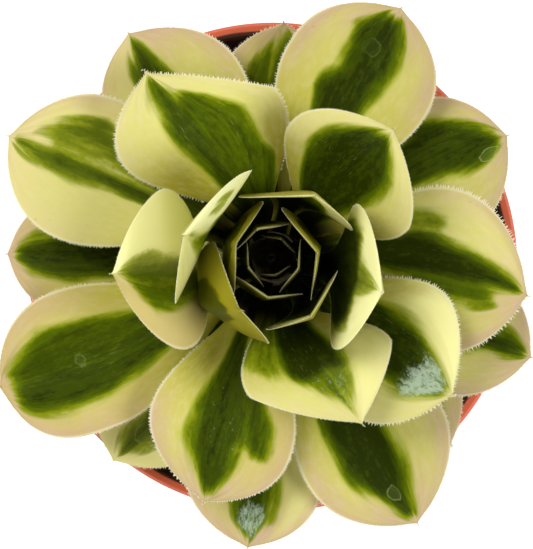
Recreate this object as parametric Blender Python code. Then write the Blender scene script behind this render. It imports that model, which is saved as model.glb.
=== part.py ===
"""Potted variegated aeonium: a terracotta-coloured plastic nursery pot filled with potting soil,
a short woody stem, and a rosette of separate fleshy leaves set on it in a spiral.

Metres, +Z up. The origin is the centre of the pot's underside, where it stands.
"""
import math
from collections import namedtuple

import bmesh
import bpy
import numpy as np
from mathutils import Vector, noise

MM = 0.001
GAP = 0.3 * MM

# The pot: a 12 cm nursery pot with a straight tapered wall and a turned-down rim
POT_HEIGHT = 105 * MM
RIM_RADIUS = 60 * MM
SKIRT_BOTTOM = 88 * MM
SKIRT_RADIUS = 59 * MM
FOOT_RADIUS = 40 * MM
WALL_TOP_RADIUS = 57.2 * MM
WALL = 1.4 * MM
FLOOR_TOP = 2.8 * MM
RECESS = 1.2 * MM
PAD_RADIUS = 10 * MM
DRAIN_COUNT = 6
DRAIN_RADIUS = 4 * MM
DRAIN_CIRCLE = 22 * MM
POT_SIDES = 64

# The soil: level about a centimetre under the rim, lumpy
SOIL_TOP = 95 * MM
SOIL_LUMP = 1.6 * MM
SOIL_RINGS = 11

# The stem: it stands slightly off the pot's axis
STEM_X = -0.5 * MM
STEM_Y = 2.0 * MM
STEM_FOOT = 62 * MM
STEM_SIDES = 20
SCAR_RADIUS = 6.75 * MM
LEAF_ZONE = 28 * MM
LOWEST_LEAF = 108.5 * MM
THICKEST = 6.6 * MM
TIP_RADIUS = 0.3 * MM
BUD_SEAT = 0.955

# The leaves: the claw ends and the blade is widest at these parts of the length. In the cup at the
# middle the claws stay narrow for longer; its first leaf is counted from 0.
WIDEST = 0.68
CLAW_PART = 0.42
FIRST_CUP_LEAF = 19
CUP_GROWTH = 4.0
MIDRIB_THICK = 1.7 * MM
LEAST_THICK = 0.65 * MM
LEAF_ROWS = 9
LEAF_COLUMNS = 3
BASE_WIDE = 10 * MM
BASE_WIDE_YOUNG = 2.4 * MM
BASE_THICK = 2.8 * MM
BASE_THICK_YOUNG = 0.7 * MM
RANKS = 33.3

# Oldest leaf first, up the spiral. azimuth: the way the blade faces, counter-clockwise from +X.
# reach: from the stem's axis out to the tip. height: of the tip over the pot's rim. width: of the
# blade. claw and blade: how far the lower and the upper part of the midrib turn, upward positive.
# fold: how far each half rises beside the midrib, and curl: its further turn out to the margin.
# side: how far the tip lies to the left of the way the blade faces. left and right: how straight each
# margin runs to the tip, from below 0 for a blunter one to above 1 for a pointed one.
Leaf = namedtuple("Leaf", "azimuth reach height width claw blade fold curl side left right")
LEAVES = [
    Leaf(232, 61.5, 9, 31, -26, -8, 6, -8, 0, 0, 0),
    Leaf(87, 56.5, 10, 29, -26, -8, 6, -8, 0, 0, 0),
    Leaf(314, 62, 10, 29, -24, -8, 6, -8, 0, 0, 0),
    Leaf(179, 63, 12, 28.5, -24, -8, 6, -8, 0, -0.4, -0.4),
    Leaf(29.5, 63.4, 14, 34, -24, -8, 6, -8, -2.2, -0.35, 0.15),
    Leaf(265.4, 69, 15, 34, -24, -8, 8, -8, 0, -0.5, 0),
    Leaf(117.5, 63, 17, 34.5, -26, -8, 8, -8, 5.3, 0, 0),
    Leaf(339.2, 66, 17, 32, -26, -8, 8, -8, 0, 0, 0),
    Leaf(214, 70.4, 18, 35.5, -26, -8, 8, -8, -10.6, -1.3, 0),
    Leaf(67.5, 66.2, 22, 37, -28, -8, 6, -10, -5.7, -0.35, 0),
    Leaf(298.9, 71.5, 20, 37, -30, -8, 8, -8, 0, 0.25, 0),
    Leaf(152, 67.9, 24, 36, -30, -8, 10, -8, 3.6, 0, 0),
    Leaf(4.8, 58.9, 27, 38.5, -34, -10, 8, -8, -13.6, 0, 0.3),
    Leaf(252.5, 59, 26, 35, -40, -12, 8, -10, 2.1, -0.3, 0.3),
    Leaf(107, 49.3, 36, 40, -36, -12, 12, -10, 14.9, 0, 1.2),
    Leaf(323, 52.5, 34, 36, -38, -12, 10, -10, 0, 0.4, 0),
    Leaf(188.7, 36.4, 41, 38, 33, -58, 14, -8, -1.9, 0.5, 0.6),
    Leaf(46.3, 40, 48, 37, -4, -26, 12, -8, 0, 0, 0.5),
    Leaf(282, 41.3, 42, 36, -12, -38, 12, -8, 12.3, 0.8, 1.05),
    Leaf(150, 19.4, 62, 35, 86, -30, 8, 0, 5.3, 0.4, -1.2),
    Leaf(352, 25.7, 56, 34, 30, -4, 11, 0, -4.1, 0, 0),
    Leaf(207.2, 11.9, 57, 30, 71, 50.5, 33.4, 0, 7.4, -1.2, 0.9),
    Leaf(74, 16.3, 57, 28.5, 46, 14, 21, 0, -5.5, 0, 0),
    Leaf(309.5, 16.1, 54, 22.2, 46, 14, 20, 0, -1.6, 0, 0),
    Leaf(162, 8.8, 51, 25, 46, 24, 25, 0, -0.5, 0, 0),
    Leaf(18, 10.4, 50, 24.5, 46, 16, 27, 0, -2, 0, 0),
    Leaf(255, 9, 47, 18, 46, 12, 23, 0, 1.6, 0, 0),
    Leaf(116.5, 7.4, 45, 16, 46, 12, 23, 0, 0, 0, 0),
    Leaf(338, 6.8, 43, 14, 46, 12, 23, 0, 0, 0, 0),
    Leaf(201, 5.8, 41, 12, 40, 12, 23, 0, 0, 0, 0),
    Leaf(63, 5, 39.5, 10, 40, 12, 23, 0, 0, 0, 0),
    Leaf(286, 4.2, 38, 8, 40, 12, 23, 0, 0, 0, 0),
]

# The bud: leaves too small to count, grown together at the stem's tip
BUD_LEAVES = 7
BUD_FIRST = 50
BUD_TURN = -137.5
BUD_HEIGHT = 5.2 * MM
BUD_RADIUS = 1.75 * MM


def smooth(x):
    x = np.clip(x, 0, 1)
    return x * x * (3 - 2 * x)


def arc(length, start, turn):
    """End of an arc of this length that sets off at angle start and turns by turn."""
    half = np.where(np.abs(turn) < 1e-6, 1e-6, turn) / 2
    chord = length * np.sin(half) / half
    return chord * np.cos(start + half), chord * np.sin(start + half)


def midrib(s, start, claw, blade):
    """Run, rise and pitch at s along a midrib of length 1: two arcs, the claw's and the blade's."""
    low = np.minimum(s, CLAW_PART)
    high = np.maximum(s - CLAW_PART, 0)
    run0, rise0 = arc(low, start, claw * low / CLAW_PART)
    run1, rise1 = arc(high, start + claw, blade * high / (1 - CLAW_PART))
    pitch = start + claw * low / CLAW_PART + blade * high / (1 - CLAW_PART)
    return run0 + run1, rise0 + rise1, pitch


def stem_radius(t):
    """Radius of the stem at t of the leaf zone, a dome that closes toward its tip."""
    return THICKEST * math.sqrt(max(1 - t ** 2.5, 0)) + TIP_RADIUS


class Blade:
    """One leaf's surface, worked out from its row and its rank up the spiral."""

    def __init__(self, leaf, rank):
        t = rank / RANKS
        self.leaf = leaf
        self.rank = rank
        self.young = rank / (len(LEAVES) - 1)
        self.half0 = 0.5 * (BASE_WIDE * (1 - t) + BASE_WIDE_YOUNG * t)
        self.thick0 = BASE_THICK * (1 - t) + BASE_THICK_YOUNG * t
        self.claw = math.radians(leaf.claw)
        self.blade = math.radians(leaf.blade)
        self.z0 = LOWEST_LEAF + LEAF_ZONE * t
        rise = POT_HEIGHT + leaf.height * MM - self.z0
        lean = math.atan2(rise, leaf.reach * MM - stem_radius(t)) - 0.6 * self.claw - 0.25 * self.blade
        self.r0 = stem_radius(t) + GAP + 0.5 * self.thick0 * math.sin(lean)
        run = leaf.reach * MM - self.r0
        x, z, _ = midrib(1.0, 0.0, self.claw, self.blade)
        self.length = math.hypot(run, rise) / math.hypot(x, z)
        self.start = math.atan2(rise, run) - math.atan2(z, x)
        self.thick1 = min(MIDRIB_THICK, 0.028 * self.length + 0.12 * MM)

    def half_width(self, s, v):
        """Half the width at s along the leaf: narrow claw, widest at WIDEST, blunt pointed tip."""
        wide = self.leaf.width * MM / 2
        taper = np.where(v > 0, self.leaf.left, self.leaf.right)
        growth = 2.0 + 1.2 * self.young if self.rank < FIRST_CUP_LEAF else CUP_GROWTH
        grow = np.sin(np.clip(s / WIDEST, 0, 1) * math.pi / 2) ** growth
        near = self.half0 + (wide - self.half0) * grow
        t = np.clip((s - WIDEST) / (1 - WIDEST), 0, 1)
        far = wide * (1 - t ** (2.2 - taper)) ** (0.72 + 0.2 * taper)
        return np.where(s < WIDEST, near, far)

    def point(self, s, v, face):
        """Points at s along and v across (-1 to 1), on the upper (face 1) or lower (-1) skin."""
        leaf = self.leaf
        turn = math.radians(leaf.azimuth)
        out = np.array([math.cos(turn), math.sin(turn), 0.0])
        left = np.array([-math.sin(turn), math.cos(turn), 0.0])
        up = np.array([0.0, 0.0, 1.0])
        run, rise, pitch = midrib(s, self.start, self.claw, self.blade)
        rib = np.multiply.outer(self.r0 + run * self.length, out)
        rib = rib + np.multiply.outer(leaf.side * MM * s ** 2, left)
        rib = rib + np.multiply.outer(self.z0 + rise * self.length, up)
        rib = rib + np.array([STEM_X, STEM_Y, 0.0])
        along = np.multiply.outer(np.cos(pitch), out) + np.multiply.outer(np.sin(pitch), up)
        along = along + np.multiply.outer(leaf.side * MM * s / self.length, left)
        along = along / np.linalg.norm(along, axis=-1, keepdims=True)
        across = left - along * (along @ left)[..., None]
        across = across / np.linalg.norm(across, axis=-1, keepdims=True)
        normal = np.cross(along, across)
        ripe = smooth(s / 0.75)
        fold = math.radians(leaf.fold) * ripe
        curl = math.radians(leaf.curl) * ripe * np.abs(v)
        y, h = arc(self.half_width(s, v) * np.abs(v), fold, curl)
        tilt = fold + curl
        thick = self.thick0 + (self.thick1 - self.thick0) * smooth(s / 0.5)
        thick = np.maximum(thick * (1 - 0.6 * v ** 2), LEAST_THICK)
        skin = normal * np.cos(tilt)[..., None] - across * (np.sin(tilt) * np.sign(v))[..., None]
        return (rib + across * (y * np.sign(v))[..., None] + normal * h[..., None]
                + skin * (face * thick / 2)[..., None])


def leaf_mesh(bm, blade, rows, columns):
    """Add one closed leaf to bm, its two faces split into triangles alike."""
    s = np.linspace(0, 1, rows + 1) ** 0.9
    v = np.linspace(-1, 1, 2 * columns + 1)
    s, v = np.meshgrid(s, v, indexing="ij")
    count = s.shape[1]
    skins = []
    for face in (1, -1):
        points = blade.point(s, v, face)
        grid = [[bm.verts.new(p) for p in row] for row in points[:-1]]
        tip = bm.verts.new(points[-1][columns])
        grid.append([tip] * count)
        skins.append(grid)

    def triangles(a, b, c, d):
        for corner in ((a, b, c), (a, c, d)):
            if len(set(corner)) == 3:
                bm.faces.new(corner)

    top, under = skins
    for i in range(rows):
        for j in range(count - 1):
            if j < columns:
                triangles(top[i][j], top[i + 1][j], top[i + 1][j + 1], top[i][j + 1])
                triangles(under[i][j], under[i][j + 1], under[i + 1][j + 1], under[i + 1][j])
            else:
                triangles(top[i][j + 1], top[i][j], top[i + 1][j], top[i + 1][j + 1])
                triangles(under[i][j + 1], under[i + 1][j + 1], under[i + 1][j], under[i][j])
        triangles(top[i][0], under[i][0], under[i + 1][0], top[i + 1][0])
        triangles(top[i][-1], top[i + 1][-1], under[i + 1][-1], under[i][-1])
    for j in range(count - 1):
        triangles(top[0][j], top[0][j + 1], under[0][j + 1], under[0][j])


def material(name, colour, roughness):
    """A plain Principled material; colour is linear RGB."""
    mat = bpy.data.materials.new(name)
    mat.use_nodes = True
    shader = mat.node_tree.nodes["Principled BSDF"]
    shader.inputs["Base Color"].default_value = (*colour, 1)
    shader.inputs["Roughness"].default_value = roughness
    shader.inputs["Metallic"].default_value = 0
    return mat


def add(name, bm, mat, parent, location=(0, 0, 0), sharp=40):
    """Make a named object from bm, shaded smooth up to the sharp angle."""
    bmesh.ops.recalc_face_normals(bm, faces=bm.faces)
    mesh = bpy.data.meshes.new(name)
    bm.to_mesh(mesh)
    bm.free()
    mesh.shade_smooth()
    mesh.set_sharp_from_angle(angle=math.radians(sharp))
    obj = bpy.data.objects.new(name, mesh)
    obj.location = location
    if mat:
        mesh.materials.append(mat)
    bpy.context.scene.collection.objects.link(obj)
    obj.parent = parent
    return obj


def lathe(bm, profile, sides):
    """Turn a closed profile of (radius, height) round Z; a radius of 0 closes on the axis."""
    rings = []
    for radius, height in profile:
        if radius == 0:
            rings.append([bm.verts.new((0, 0, height))] * sides)
            continue
        ring = []
        for k in range(sides):
            a = 2 * math.pi * k / sides
            ring.append(bm.verts.new((radius * math.cos(a), radius * math.sin(a), height)))
        rings.append(ring)
    pairs = list(zip(rings, rings[1:]))
    if profile[0][0] != 0:
        pairs.append((rings[-1], rings[0]))
    for low, high in pairs:
        for k in range(sides):
            n = (k + 1) % sides
            corners = list(dict.fromkeys((low[k], low[n], high[n], high[k])))
            bm.faces.new(corners)


def wall_radius(height):
    """Outer radius of the pot's wall at this height."""
    return FOOT_RADIUS + MM + (WALL_TOP_RADIUS - FOOT_RADIUS - MM) * (height - MM) / (101 * MM - MM)


def make_pot(parent):
    inner_top = wall_radius(101 * MM) - WALL
    profile = [
        (0, 0), (PAD_RADIUS, 0), (PAD_RADIUS + MM, RECESS), (34 * MM, RECESS), (35 * MM, 0),
        (FOOT_RADIUS - 0.5 * MM, 0), (FOOT_RADIUS + MM, MM),
        (wall_radius(60 * MM), 60 * MM), (wall_radius(100 * MM), 100 * MM),
        (SKIRT_RADIUS - 0.6 * MM, 101 * MM), (SKIRT_RADIUS - 1.2 * MM, SKIRT_BOTTOM),
        (SKIRT_RADIUS, SKIRT_BOTTOM), (RIM_RADIUS, POT_HEIGHT - 1.2 * MM),
        (RIM_RADIUS - 0.8 * MM, POT_HEIGHT), (inner_top + 1.3 * MM, POT_HEIGHT),
        (inner_top + 0.5 * MM, POT_HEIGHT - 0.8 * MM), (inner_top, 101 * MM),
        (wall_radius(50 * MM) - WALL, 50 * MM), (wall_radius(5 * MM) - WALL, 5 * MM),
        (FOOT_RADIUS - 2.5 * MM, FLOOR_TOP), (0, FLOOR_TOP),
    ]
    bm = bmesh.new()
    lathe(bm, profile, POT_SIDES)
    pot = add("pot", bm, material("pot_plastic", (0.70, 0.16, 0.085), 0.45), parent, sharp=30)
    bm = bmesh.new()
    for k in range(DRAIN_COUNT):
        a = 2 * math.pi * (k + 0.5) / DRAIN_COUNT
        made = bmesh.ops.create_cone(bm, cap_ends=True, segments=16, radius1=DRAIN_RADIUS,
                                     radius2=DRAIN_RADIUS, depth=8 * MM)
        shift = Vector((DRAIN_CIRCLE * math.cos(a), DRAIN_CIRCLE * math.sin(a), 2 * MM))
        bmesh.ops.translate(bm, verts=made["verts"], vec=shift)
    cutter = add("drain_cutter", bm, None, parent)
    cutter.hide_render = True
    cutter.display_type = "WIRE"
    cut = pot.modifiers.new("drains", "BOOLEAN")
    cut.operation = "DIFFERENCE"
    cut.object = cutter
    cut.solver = "EXACT"


def make_soil(parent):
    """Soil that fills the pot, with a plain hole round the stem and a lumpy top."""
    hole = SCAR_RADIUS + GAP
    outer_top = wall_radius(SOIL_TOP) - WALL - GAP
    low = FLOOR_TOP + GAP
    bm = bmesh.new()
    rings = []

    def ring(radius, height, lumps):
        loop = []
        for k in range(POT_SIDES):
            a = 2 * math.pi * k / POT_SIDES
            c, s = math.cos(a), math.sin(a)
            blend = (radius - hole) / (outer_top - hole) if lumps else 0
            x = radius * c + STEM_X * (1 - blend) if lumps or radius < 20 * MM else radius * c
            y = radius * s + STEM_Y * (1 - blend) if lumps or radius < 20 * MM else radius * s
            z = height
            if lumps:
                spot = Vector((x / (7 * MM), y / (7 * MM), 0.5))
                z += SOIL_LUMP * noise.noise(spot) + 0.5 * SOIL_LUMP * noise.noise(spot * 2.7)
                z += 2.0 * MM * (1 - blend) ** 3
            loop.append(bm.verts.new((x, y, z)))
        rings.append(loop)

    ring(hole, STEM_FOOT - GAP, False)
    for i in range(SOIL_RINGS):
        ring(hole + (outer_top - hole) * i / (SOIL_RINGS - 1), SOIL_TOP, True)
    ring(wall_radius(50 * MM) - WALL - GAP, 50 * MM, False)
    ring(wall_radius(5.4 * MM) - WALL - GAP, 5.4 * MM, False)
    ring(FOOT_RADIUS - 2.9 * MM, low, False)
    centre = bm.verts.new((0, 0, low))
    foot = bm.verts.new((STEM_X, STEM_Y, STEM_FOOT - GAP))
    for inner, outer in zip(rings, rings[1:]):
        for k in range(POT_SIDES):
            n = (k + 1) % POT_SIDES
            bm.faces.new((inner[k], outer[k], outer[n]))
            bm.faces.new((inner[k], outer[n], inner[n]))
    for k in range(POT_SIDES):
        n = (k + 1) % POT_SIDES
        bm.faces.new((rings[-1][k], centre, rings[-1][n]))
        bm.faces.new((foot, rings[0][k], rings[0][n]))
    add("soil", bm, material("soil_dark", (0.018, 0.013, 0.010), 0.95), parent, sharp=60)


def stem_profile():
    """(radius, height) up the stem: root collar, bare stem with leaf scars, domed leaf zone."""
    profile = [(4.6 * MM, STEM_FOOT), (6.0 * MM, STEM_FOOT + 3 * MM), (6.2 * MM, SOIL_TOP - 3 * MM)]
    for k in range(4):
        z = SOIL_TOP + (1.5 + 2.8 * k) * MM
        profile.append((6.3 * MM, z))
        profile.append((SCAR_RADIUS, z + 1.2 * MM))
    for t in (0.0, 0.2, 0.35, 0.48, 0.6, 0.7, 0.79, 0.86, 0.91, BUD_SEAT):
        profile.append((stem_radius(t), LOWEST_LEAF + LEAF_ZONE * t))
    return profile


def make_stem(parent):
    profile = stem_profile()
    bm = bmesh.new()
    lathe(bm, [(0, profile[0][1]), *profile, (0, profile[-1][1])], STEM_SIDES)
    bmesh.ops.translate(bm, verts=bm.verts, vec=(STEM_X, STEM_Y, 0))
    add("stem", bm, material("stem_bark", (0.20, 0.17, 0.09), 0.8), parent, sharp=50)


def make_bud(parent):
    """The bud: a small core with tiny hooded leaves round it, joined into one body."""
    low = LOWEST_LEAF + LEAF_ZONE * BUD_SEAT + GAP
    sides = 16
    bm = bmesh.new()
    profile = [(0, 0), (1.0, 0), (1.0, 0.25), (0.72, 0.55), (0.4, 0.8), (0, 0.92)]
    lathe(bm, [(r * BUD_RADIUS, low + z * BUD_HEIGHT) for r, z in profile], sides)
    bmesh.ops.translate(bm, verts=bm.verts, vec=(STEM_X, STEM_Y, 0))
    bud = add("bud", bm, material("bud_green", (0.10, 0.13, 0.02), 0.5), parent)
    group = bpy.data.collections.new("bud_leaves")
    for k in range(BUD_LEAVES):
        turn = math.radians(BUD_FIRST + BUD_TURN * k)
        size = 1 - 0.09 * k
        bm = bmesh.new()
        bmesh.ops.create_uvsphere(bm, u_segments=8, v_segments=5, radius=1)
        for vert in bm.verts:
            x, y, z = vert.co
            bend = 0.35 * (z + 1) ** 2
            radius = (0.92 - 0.22 * bend) * size + 0.16 * x
            across = 0.78 * size * y
            vert.co = Vector((radius - 0.12 * y * y, across, 0))
            vert.co.x *= BUD_RADIUS
            vert.co.y *= BUD_RADIUS
            vert.co.z = low + BUD_HEIGHT * (0.15 + (0.36 + 0.055 * k) * (z + 1))
        spin = np.array([[math.cos(turn), -math.sin(turn)], [math.sin(turn), math.cos(turn)]])
        for vert in bm.verts:
            x, y = spin @ np.array(vert.co.xy)
            vert.co.x, vert.co.y = x + STEM_X, y + STEM_Y
        leaf = add(f"bud_leaf_{k + 1}", bm, None, parent)
        leaf.hide_render = True
        leaf.display_type = "WIRE"
        bpy.context.scene.collection.objects.unlink(leaf)
        group.objects.link(leaf)
    bpy.context.scene.collection.children.link(group)
    join = bud.modifiers.new("grown_together", "BOOLEAN")
    join.operation = "UNION"
    join.operand_type = "COLLECTION"
    join.collection = group
    join.solver = "EXACT"


def make_leaves(parent):
    last = len(LEAVES) - 1
    for rank, row in enumerate(LEAVES):
        bm = bmesh.new()
        leaf_mesh(bm, Blade(row, rank), LEAF_ROWS, LEAF_COLUMNS)
        name = f"leaf_{rank + 1:02d}"
        k = rank / last
        colour = (0.30 - 0.12 * k, 0.36 - 0.14 * k, 0.10 - 0.05 * k)
        add(name, bm, material(name + "_skin", colour, 0.45), parent, sharp=50)


def main():
    for obj in list(bpy.data.objects):
        bpy.data.objects.remove(obj)
    root = bpy.data.objects.new("potted_aeonium", None)
    bpy.context.scene.collection.objects.link(root)
    make_pot(root)
    make_soil(root)
    make_stem(root)
    make_leaves(root)
    make_bud(root)


main()
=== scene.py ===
"""Looks of the potted variegated aeonium: fine leaf blades with their green stripes, fringe hairs and
water marks, a moulded terracotta-coloured pot, peat with perlite, and a pale photo table.

Metres, +Z up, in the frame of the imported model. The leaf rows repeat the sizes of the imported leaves.
"""

import math
from collections import namedtuple

import bmesh
import bpy
import numpy as np
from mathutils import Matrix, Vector, noise


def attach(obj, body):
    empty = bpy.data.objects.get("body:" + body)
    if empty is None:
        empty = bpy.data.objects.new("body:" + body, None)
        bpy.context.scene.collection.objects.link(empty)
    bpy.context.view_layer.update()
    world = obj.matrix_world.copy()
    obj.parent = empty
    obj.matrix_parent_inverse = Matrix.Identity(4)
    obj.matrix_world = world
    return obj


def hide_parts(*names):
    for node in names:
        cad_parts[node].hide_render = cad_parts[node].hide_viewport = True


MM = 0.001
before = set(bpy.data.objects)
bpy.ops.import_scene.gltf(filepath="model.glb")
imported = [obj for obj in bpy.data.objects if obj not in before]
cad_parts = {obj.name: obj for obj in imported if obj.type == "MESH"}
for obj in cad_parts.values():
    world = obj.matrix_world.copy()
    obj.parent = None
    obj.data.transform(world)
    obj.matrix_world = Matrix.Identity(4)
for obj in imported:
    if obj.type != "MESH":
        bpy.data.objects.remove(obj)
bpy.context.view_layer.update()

# The pot, as packed
POT_HEIGHT = 105 * MM
RIM_RADIUS = 60 * MM
SKIRT_BOTTOM = 88 * MM
SKIRT_RADIUS = 59 * MM
FOOT_RADIUS = 40 * MM
FOOT_EDGE = 1.0 * MM
WALL_TOP = 101 * MM
WALL_TOP_RADIUS = 57.2 * MM
WALL = 1.4 * MM
FLOOR_TOP = 2.8 * MM
RECESS = 1.2 * MM
PAD_RADIUS = 10 * MM
DRAIN_COUNT = 6
DRAIN_RADIUS = 4 * MM
DRAIN_CIRCLE = 22 * MM
SOIL_TOP = 95 * MM

# What the moulded pot adds: rounded edges and more sides, and the circle that its profile is swept
# along
EDGE_ROUND = 0.45 * MM
POT_SIDES = 160
TURN_RADIUS = 100 * MM

# Where the inside of the pot is soiled: how far in from the rim's edge it starts and is full, and how
# far over the soil it is full and ends. The rim's ring glows a little down to RING_LOW under its top.
LIP_CLEAN = 2.0 * MM
LIP_SOILED = 2.5 * MM
WALL_SOILED = 8 * MM
WALL_CLEAN = 11 * MM
RING_LOW = 1.6 * MM
RING_GLOW = 0.1

# The grains on the soil keep clear of the stem and of the pot's wall
STEM_CLEAR = 10 * MM
WALL_CLEAR = 2.5 * MM

# The photograph's height and the rim's width in pixels, and where its camera stands: off the pot's
# axis, in pixels, and over the rim
PHOTO_HEIGHT = 549
RIM_PIXELS = 490
PIXEL = 2 * RIM_RADIUS / RIM_PIXELS
CAMERA_OFF_AXIS = (-6.5, -7.5)
CAMERA_OVER_RIM = 0.700
SENSOR = 36

# The stem's axis and the leaf zone, as packed
STEM_X = -0.5 * MM
STEM_Y = 2.0 * MM
LEAF_ZONE = 28 * MM
LOWEST_LEAF = 108.5 * MM
THICKEST = 6.6 * MM
TIP_RADIUS = 0.3 * MM

# The leaves, as packed
GAP = 0.3 * MM
WIDEST = 0.68
CLAW_PART = 0.42
MIDRIB_THICK = 1.7 * MM
LEAST_THICK = 0.65 * MM
BASE_WIDE = 10 * MM
BASE_WIDE_YOUNG = 2.4 * MM
BASE_THICK = 2.8 * MM
BASE_THICK_YOUNG = 0.7 * MM
RANKS = 33.3
WAVE = 0.7 * MM
CUP_WAVE = 0.15 * MM

# What the fine blades add: a closer mesh, a small point at the tip, and a fringe past the claw
BLADE_STEP = 0.95 * MM
FRINGE_STEPS = 240
POINT_LENGTH = 1.3 * MM
POINT_HALF = 0.55 * MM
HAIRLESS_CLAW = 0.32
HAIR_SIDES = 4
OUTER_FRINGE = {"Hair length": 0.48 * MM, "Hair spacing": 0.62 * MM, "Hair radius": 0.13 * MM}
MIDDLE_FRINGE = {"Hair length": 0.6 * MM, "Hair spacing": 0.55 * MM, "Hair radius": 0.14 * MM}
CUP_FRINGE = {"Hair length": 0.26 * MM, "Hair spacing": 0.5 * MM, "Hair radius": 0.09 * MM}
HAIR_GROWTH = {12: 0.8, 13: 1.35, 14: 0.75, 16: 1.1}

# The leaves, oldest first, in mm and degrees: azimuth, reach, height over the rim, width, claw and
# blade turn, fold, curl, side, and how straight the left and the right margin run to the tip
Leaf = namedtuple("Leaf", "azimuth reach height width claw blade fold curl side left right")
LEAVES = [Leaf(*row) for row in (
    (232, 61.5, 9, 31, -26, -8, 6, -8, 0, 0, 0),
    (87, 56.5, 10, 29, -26, -8, 6, -8, 0, 0, 0),
    (314, 62, 10, 29, -24, -8, 6, -8, 0, 0, 0),
    (179, 63, 12, 28.5, -24, -8, 6, -8, 0, -0.4, -0.4),
    (29.5, 63.4, 14, 34, -24, -8, 6, -8, -2.2, -0.35, 0.15),
    (265.4, 69, 15, 34, -24, -8, 8, -8, 0, -0.5, 0),
    (117.5, 63, 17, 34.5, -26, -8, 8, -8, 5.3, 0, 0),
    (339.2, 66, 17, 32, -26, -8, 8, -8, 0, 0, 0),
    (214, 70.4, 18, 35.5, -26, -8, 8, -8, -10.6, -1.3, 0),
    (67.5, 66.2, 22, 37, -28, -8, 6, -10, -5.7, -0.35, 0),
    (298.9, 71.5, 20, 37, -30, -8, 8, -8, 0, 0.25, 0),
    (152, 67.9, 24, 36, -30, -8, 10, -8, 3.6, 0, 0),
    (4.8, 58.9, 27, 38.5, -34, -10, 8, -8, -13.6, 0, 0.3),
    (252.5, 59, 26, 35, -40, -12, 8, -10, 2.1, -0.3, 0.3),
    (107, 49.3, 36, 40, -36, -12, 12, -10, 14.9, 0, 1.2),
    (323, 52.5, 34, 36, -38, -12, 10, -10, 0, 0.4, 0),
    (188.7, 36.4, 41, 38, 33, -58, 14, -8, -1.9, 0.5, 0.6),
    (46.3, 40, 48, 37, -4, -26, 12, -8, 0, 0, 0.5),
    (282, 41.3, 42, 36, -12, -38, 12, -8, 12.3, 0.8, 1.05),
    (150, 19.4, 62, 35, 86, -30, 8, 0, 5.3, 0.4, -1.2),
    (352, 25.7, 56, 34, 30, -4, 11, 0, -4.1, 0, 0),
    (207.2, 11.9, 57, 30, 71, 50.5, 33.4, 0, 7.4, -1.2, 0.9),
    (74, 16.3, 57, 28.5, 46, 14, 21, 0, -5.5, 0, 0),
    (309.5, 16.1, 54, 22.2, 46, 14, 20, 0, -1.6, 0, 0),
    (162, 8.8, 51, 25, 46, 24, 25, 0, -0.5, 0, 0),
    (18, 10.4, 50, 24.5, 46, 16, 27, 0, -2, 0, 0),
    (255, 9, 47, 18, 46, 12, 23, 0, 1.6, 0, 0),
    (116.5, 7.4, 45, 16, 46, 12, 23, 0, 0, 0, 0),
    (338, 6.8, 43, 14, 46, 12, 23, 0, 0, 0, 0),
    (201, 5.8, 41, 12, 40, 12, 23, 0, 0, 0, 0),
    (63, 5, 39.5, 10, 40, 12, 23, 0, 0, 0, 0),
    (286, 4.2, 38, 8, 40, 12, 23, 0, 0, 0, 0),
)]
CUP_GROWTH = 4.0

# The number of the last leaf that has the outer fringe, has the middle one, is outer, is middle, and
# is a large leaf of the cup
LAST_FINE_FRINGED = 11
LAST_LONG_FRINGED = 16
LAST_OUTER = 14
LAST_MIDDLE = 19
LAST_LARGE = 23

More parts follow.
